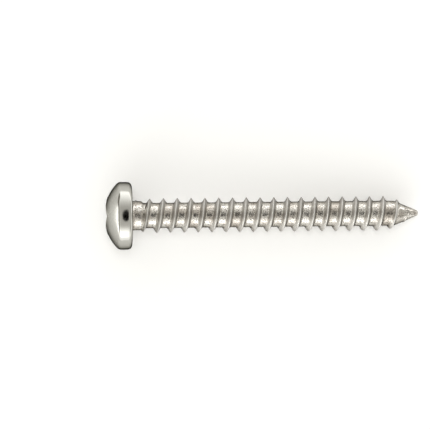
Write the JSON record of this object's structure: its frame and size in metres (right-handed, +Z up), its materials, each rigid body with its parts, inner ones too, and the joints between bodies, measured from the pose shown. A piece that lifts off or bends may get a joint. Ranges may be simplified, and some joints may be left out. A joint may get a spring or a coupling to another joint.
{
  "type": "pan head self-tapping screw",
  "caption": "Steel pan head self-tapping screw with a square recess and a spaced left-hand thread down to a gimlet point.",
  "frame": {"origin": "on the floor, at the middle of the screw's overall length and width as it lies", "axes": "+X runs along the screw from head to point, +Z is up from the floor it lies on; the screw's own axis drops 3.8 degrees from the head to the point"},
  "size_m": [0.0382, 0.0082, 0.0083],
  "materials": {
    "screw_steel": "satin"
  },
  "bodies": {
    "root": {"screw": "screw_steel"}
  },
  "joints": []
}
